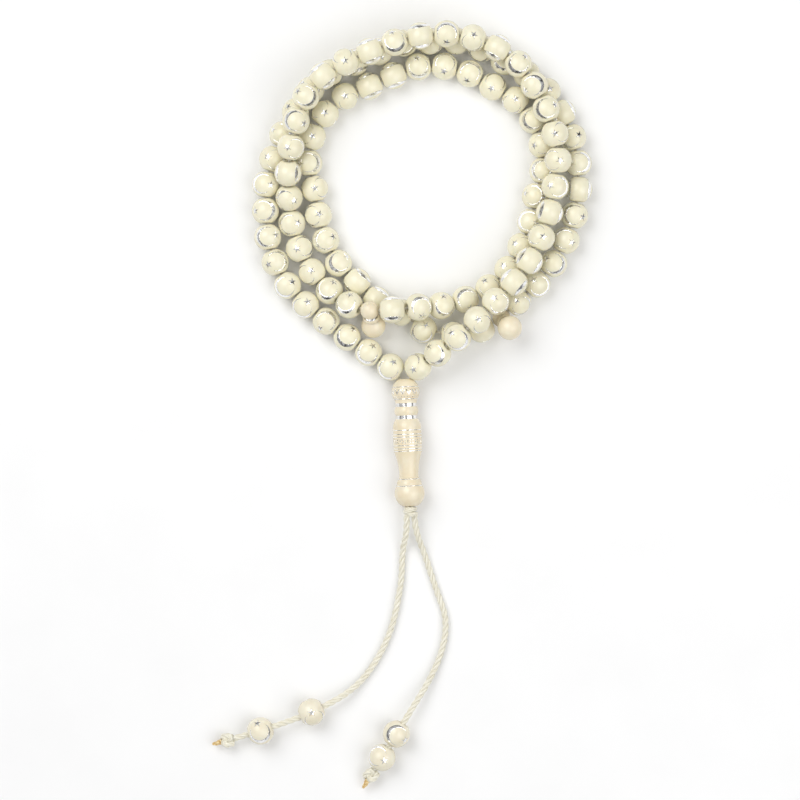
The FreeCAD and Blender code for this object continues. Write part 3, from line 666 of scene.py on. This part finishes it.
def marker(label):
    """A marker: a small ball with the string's hole, a ring between silver grooves, a large ball."""
    head, ball = 2.7 * MM, 3.55 * MM
    groove, ring, width = 1.9 * MM, 2.5 * MM, 0.45 * MM
    neck = head + math.sqrt(head ** 2 - groove ** 2)
    ring_start = neck + width
    ring_end = ring_start + 1.2 * MM
    ball_start = ring_end + width
    ball_middle = ball_start + math.sqrt(ball ** 2 - groove ** 2)
    length = ball_middle + math.sqrt(ball ** 2 - (0.8 * MM) ** 2)
    work = bmesh.new()
    outline = Outline()
    top = head - math.sqrt(head ** 2 - (0.4 * MM) ** 2)
    outline.add([(top + 0.25 * MM, 0.0), (top + 0.2 * MM, 0.25 * MM), (top, 0.4 * MM)])
    outline.stretch(lambda x: math.sqrt(max(head ** 2 - (x - head) ** 2, 0.0)), top, neck, (),
                    0.25 * MM)
    outline.groove(neck, ring_start, groove)
    outline.stretch(lambda x: bulged((ring_start, ring - 0.25 * MM), (ring_end, ring - 0.25 * MM),
                                     0.25 * MM, x), ring_start, ring_end, (), 0.15 * MM)
    outline.groove(ring_end, ball_start, groove)
    outline.stretch(lambda x: math.sqrt(max(ball ** 2 - (x - ball_middle) ** 2, 0.0)),
                    ball_start, length, (), 0.3 * MM)
    outline.add([(length, 0.0)])
    outline.turn(work, 64)
    piece = add_mesh(label + "_look", work, (TURNED_RESIN, SILVER_METAL))
    joint = next(j for j in frame["joints"] if j["child"] == label)
    head_middle = Vector(joint["pos_m"])
    axis = (bead_place(solids_of(label)[0])[0] - head_middle).normalized()
    piece.matrix_world = laid(head_middle - axis * head, axis, 0.0)
    put(piece, label, [label])


# ---------------------------------------------------------------- cords

# The tails' routes: places across the imam and on past its foot, and heights over the table.
LEFT_TAIL = (
    (-0.00115, 0.0027, 0.00442), (-0.00115, 0.0070, 0.00442), (-0.0029, 0.0132, 0.0010),
    (-0.0032, 0.0206, 0.0010), (-0.0048, 0.0283, 0.0010), (-0.0069, 0.0360, 0.0010),
    (-0.0110, 0.0442, 0.0010), (-0.0167, 0.0514, 0.0010), (-0.0238, 0.0561, 0.0037),
    (-0.0387, 0.0621, 0.0043), (-0.0541, 0.0659, 0.0037),
)
RIGHT_TAIL = (
    (0.00115, 0.0027, 0.00442), (0.00115, 0.0070, 0.00442), (0.0036, 0.0142, 0.0010),
    (0.0066, 0.0248, 0.0010), (0.0099, 0.0349, 0.0010), (0.0061, 0.0478, 0.0010),
    (-0.0041, 0.0626, 0.0043), (-0.0134, 0.0765, 0.0037),
)
AXIS_HEIGHT = 4.42 * MM    # the imam's axis over the table
TAIL_DIAMETER = 1.9 * MM
TAIL_LAY = 6.5 * MM        # one full turn of the plies
LEG_OFFSET = 0.5 * MM      # each end of the string from the imam's axis
MOUTH_TO_FOOT = 38.0 * MM
KNOT_GAP = 0.1 * MM        # from the imam's foot to the knot under it
PLY_SWELL = 1.03           # plies press into each other by this much


def imam_frame():
    """The imam's foot and the ways across it and on past it."""
    joint = next(j for j in frame["joints"] if j["child"] == "imam")
    down = Vector(joint["axis"]).normalized()
    return Vector(joint["pos_m"]), Vector((-down.y, down.x, 0.0)), down


def smooth_line(points):
    """The points of a smooth curve that has the given points as its control points."""
    curve = bpy.data.curves.new("route", "CURVE")
    curve.dimensions = "3D"
    spline = curve.splines.new("NURBS")
    spline.points.add(len(points) - 1)
    for point, place in zip(spline.points, points):
        point.co = (*place, 1.0)
    spline.order_u = 3
    spline.use_endpoint_u = True
    spline.resolution_u = 24
    route = bpy.data.objects.new("route", curve)
    bpy.context.scene.collection.objects.link(route)
    bpy.context.view_layer.update()
    drawn = bpy.data.meshes.new_from_object(route)
    line = [vert.co.copy() for vert in drawn.vertices]
    bpy.data.meshes.remove(drawn)
    bpy.data.objects.remove(route)
    bpy.data.curves.remove(curve)
    return line


def stepped(line, step):
    """The line's points at equal steps along it."""
    lengths = [0.0]
    for a, b in zip(line, line[1:]):
        lengths.append(lengths[-1] + (b - a).length)
    count = max(2, round(lengths[-1] / step))
    places = []
    at = 0
    for k in range(count + 1):
        want = lengths[-1] * k / count
        while at < len(line) - 2 and lengths[at + 1] < want:
            at += 1
        run = lengths[at + 1] - lengths[at]
        share = (want - lengths[at]) / run if run else 0.0
        places.append(line[at].lerp(line[at + 1], share))
    return places


def carried_sides(places):
    """A side vector at each point, carried along the line without twisting."""
    ways = []
    for k in range(len(places)):
        ways.append((places[min(k + 1, len(places) - 1)] - places[max(k - 1, 0)]).normalized())
    start = UP.cross(ways[0])
    sides = [(start if start.length > 0.1 else Vector((1, 0, 0))).normalized()]
    for before, way in zip(ways, ways[1:]):
        side = before.rotation_difference(way) @ sides[-1]
        sides.append((side - way * side.dot(way)).normalized())
    return ways, sides


def add_ply(work, layer, places, offset, radius, start, lay, sides=10, taper=None):
    """One ply of a twisted cord: a round strand wound about the line."""
    ways, across = carried_sides(places)
    line = []
    travelled = 0.0
    for k, (place, way, side) in enumerate(zip(places, ways, across)):
        if k:
            travelled += (place - places[k - 1]).length
        angle = start + 2 * math.pi * travelled / lay
        other = way.cross(side)
        reach = offset * (taper(k / (len(places) - 1)) if taper else 1.0)
        line.append(place + (side * math.cos(angle) + other * math.sin(angle)) * reach)
    ways, across = carried_sides(line)
    rings = []
    along = [0.0]
    for a, b in zip(line, line[1:]):
        along.append(along[-1] + (b - a).length)
    for k, (place, way, side) in enumerate(zip(line, ways, across)):
        other = way.cross(side)
        thick = radius * (taper(k / (len(places) - 1)) if taper else 1.0)
        rings.append([work.verts.new(place + (side * math.cos(a) + other * math.sin(a)) * thick)
                      for a in (2 * math.pi * n / sides for n in range(sides))])
    for k, (ring, after) in enumerate(zip(rings, rings[1:])):
        for n in range(sides):
            m = (n + 1) % sides
            face = work.faces.new((ring[n], ring[m], after[m], after[n]))
            round_it = (n / sides, (n + 1) / sides, (n + 1) / sides, n / sides)
            on = (along[k], along[k], along[k + 1], along[k + 1])
            for loop, u, v in zip(face.loops, round_it, on):
                loop[layer].uv = (u, v)
    work.faces.new(rings[0][::-1])
    work.faces.new(rings[-1])


def twisted(name, line, diameter, lay, plies, material, step, sides=10, taper=None):
    """A twisted cord along a line."""
    work = bmesh.new()
    layer = work.loops.layers.uv.new("fibres")
    packing = 1 / (1 + 1 / math.sin(math.pi / plies))
    radius = diameter / 2 * packing * PLY_SWELL
    offset = diameter / 2 - radius
    places = stepped(line, step)
    for ply in range(plies):
        add_ply(work, layer, places, offset, radius, 2 * math.pi * ply / plies, lay, sides, taper)
    return add_mesh(name, work, (material,), 60.0)


def tail_points(route):
    """A tail's control points in the row frame."""
    foot, right, down = imam_frame()
    table = foot.z - AXIS_HEIGHT
    flat = Vector((foot.x, foot.y, table))
    return [flat + right * x + down * y + UP * height for x, y, height in route]


def end_knot(side, arrival, way):
    """An overhand knot of the same cord, pulled tight, with its end melted."""
    across = UP.cross(way).normalized()
    above = way.cross(across)
    knot_radius, rise = 0.52 * MM, 1.2 * MM
    ahead, drop = 2.2 * MM, 0.85 * MM
    middle = arrival + way * ahead - above * drop
    loop = []
    for t in evenly(0.0, 2 * math.pi, 72):
        wide = math.sin(t) + 2 * math.sin(2 * t)
        high = math.cos(t) - 2 * math.cos(2 * t)
        deep = -math.sin(3 * t)
        loop.append(middle + across * wide * knot_radius + above * high * knot_radius
                    + way * deep * rise)
    knot = twisted(f"end_knot_{side}_look", loop, 1.8 * MM, 5.0 * MM, 3, CORD_SATIN, 0.22 * MM)
    put(knot, "strand", [f"end_knot_{side}"])
    tip_start = middle + way * 1.6 * MM
    ending = [tip_start + way * s * MM - above * 0.15 * s * MM for s in (0.0, 1.0, 2.0, 3.0)]
    tip = twisted(f"end_tip_{side}", ending, 1.7 * MM, 5.0 * MM, 3, MELTED_END, 0.15 * MM, 10,
                  lambda s: 1.0 - 0.55 * s ** 2)
    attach(tip, "strand")
    return [knot, tip]


def tails():
    """Both twisted tails with their end knots."""
    for side, route in (("left", LEFT_TAIL), ("right", RIGHT_TAIL)):
        points = tail_points(route)
        line = smooth_line(points)
        cord = twisted(f"tail_cord_{side}_look", line, TAIL_DIAMETER, TAIL_LAY, 3, CORD_SATIN,
                       0.25 * MM, 12)
        put(cord, "strand", [f"tail_cord_{side}"])
        ending = end_knot(side, points[-1], (points[-1] - points[-2]).normalized())


def tie_knot():
    """The knot under the imam's foot: the same cord wound over itself, down, up and down again."""
    foot, right, down = imam_frame()
    line = []
    for k in range(161):
        share = k / 160
        angle = 2 * math.pi * 5.3 * share
        out = (0.65 + 1.1 * share) * MM
        below = (1.55 - 0.95 * math.cos(3 * math.pi * share)) * MM
        line.append(foot + down * below + right * math.cos(angle) * out + UP * math.sin(angle) * out)
    wrap = twisted("tie_knot_look", line, 1.25 * MM, 3.6 * MM, 3, CORD_SATIN, 0.2 * MM)
    put(wrap, "strand", ["tie_knot"])


def string_line():
    """Where the string runs: down through the imam and round through every bead."""
    foot, right, down = imam_frame()
    leg = right * LEG_OFFSET
    mouth = foot - down * MOUTH_TO_FOOT
    knot = foot + down * KNOT_GAP
    order = []
    for label in sorted(n for n in frame["nodes"] if n.startswith("counting_beads_")):
        order += [bead_place(triangles)[0] for triangles in solids_of(label)]
    top = [bead_place(solids_of(n)[0])[0]
           for n in sorted(n for n in frame["nodes"] if n.startswith("counting_bead_"))]
    heads = {j["child"]: Vector(j["pos_m"]) for j in frame["joints"] if "pos_m" in j}
    third = len(order) // 2
    middles = order[:third] + [heads["marker_2"]] + order[third:] + [heads["marker_1"]] + top
    return [knot - leg, mouth - leg, *middles, mouth + leg, knot + leg]


def loop_string():
    """The thin twisted string inside the beads."""
    string = twisted("loop_string_look", smooth_line(string_line()), 0.9 * MM, 2.6 * MM, 2,
                     STRING_COTTON, 0.4 * MM, 6)
    put(string, "strand", ["loop_string"])


# ---------------------------------------------------------------- stage, light and camera

def area_light(name, place, target, size, power):
    """A square studio lamp that faces its target."""
    lamp = bpy.data.lights.new(name, "AREA")
    lamp.size = size
    lamp.energy = power
    light = bpy.data.objects.new(name, lamp)
    light.location = place
    light.rotation_euler = (Vector(target) - Vector(place)).to_track_quat("-Z", "Y").to_euler()
    bpy.context.scene.collection.objects.link(light)


def studio_walls():
    """A white studio with a dark rim and a few dark flags, which the polished silver picks up."""
    world = bpy.data.worlds.new("studio")
    world.use_nodes = True
    bpy.context.scene.world = world
    nodes, links = world.node_tree.nodes, world.node_tree.links
    way = nodes.new("ShaderNodeTexCoord")
    parts = nodes.new("ShaderNodeSeparateXYZ")
    links.new(way.outputs["Generated"], parts.inputs["Vector"])
    rim = ramp(nodes, links, parts.outputs["Z"], (0.12, (0.12, 0.12, 0.12)), (0.3, (1.0, 1.0, 1.0)))
    blotches = nodes.new("ShaderNodeTexNoise")
    blotches.inputs["Scale"].default_value = 1.9
    blotches.inputs["Detail"].default_value = 0.0
    links.new(way.outputs["Generated"], blotches.inputs["Vector"])
    flags = ramp(nodes, links, blotches.outputs["Fac"],
                 (0.38, (0.05, 0.05, 0.05)), (0.43, (1.0, 1.0, 1.0)))
    both = nodes.new("ShaderNodeVectorMath")
    both.operation = "MULTIPLY"
    links.new(rim, both.inputs[0])
    links.new(flags, both.inputs[1])
    links.new(both.outputs["Vector"], nodes["Background"].inputs["Color"])
    nodes["Background"].inputs["Strength"].default_value = 0.55


def stage():
    """A pale table, soft studio light and a camera straight above."""
    work = bmesh.new()
    bmesh.ops.create_grid(work, x_segments=1, y_segments=1, size=1.5)
    floor = add_mesh("table", work, (backdrop(),))
    floor.location.z = cad_box[0][2] - 0.0001
    area_light("key", (-0.45, 0.35, 0.8), (0, -0.03, 0), 0.7, 5.0)
    area_light("fill", (0.55, -0.25, 0.8), (0, -0.03, 0), 0.8, 4.5)
    studio_walls()
    bpy.context.scene.view_settings.view_transform = "Standard"

    camera = bpy.data.cameras.new("camera")
    height = 1.2
    field = 234.8 * MM
    camera.sensor_width = 36.0
    camera.lens = 36.0 * height / field
    camera.clip_start = 0.05
    eye = bpy.data.objects.new("camera", camera)
    eye.location = (-6.45 * MM, -38.33 * MM, height)
    bpy.context.scene.collection.objects.link(eye)
    bpy.context.scene.camera = eye


bead = single_beads()
grouped_beads(bead)
strung = tail_beads()
imam()
marker("marker_1")
marker("marker_2")
tails()
tie_knot()
loop_string()
stage()
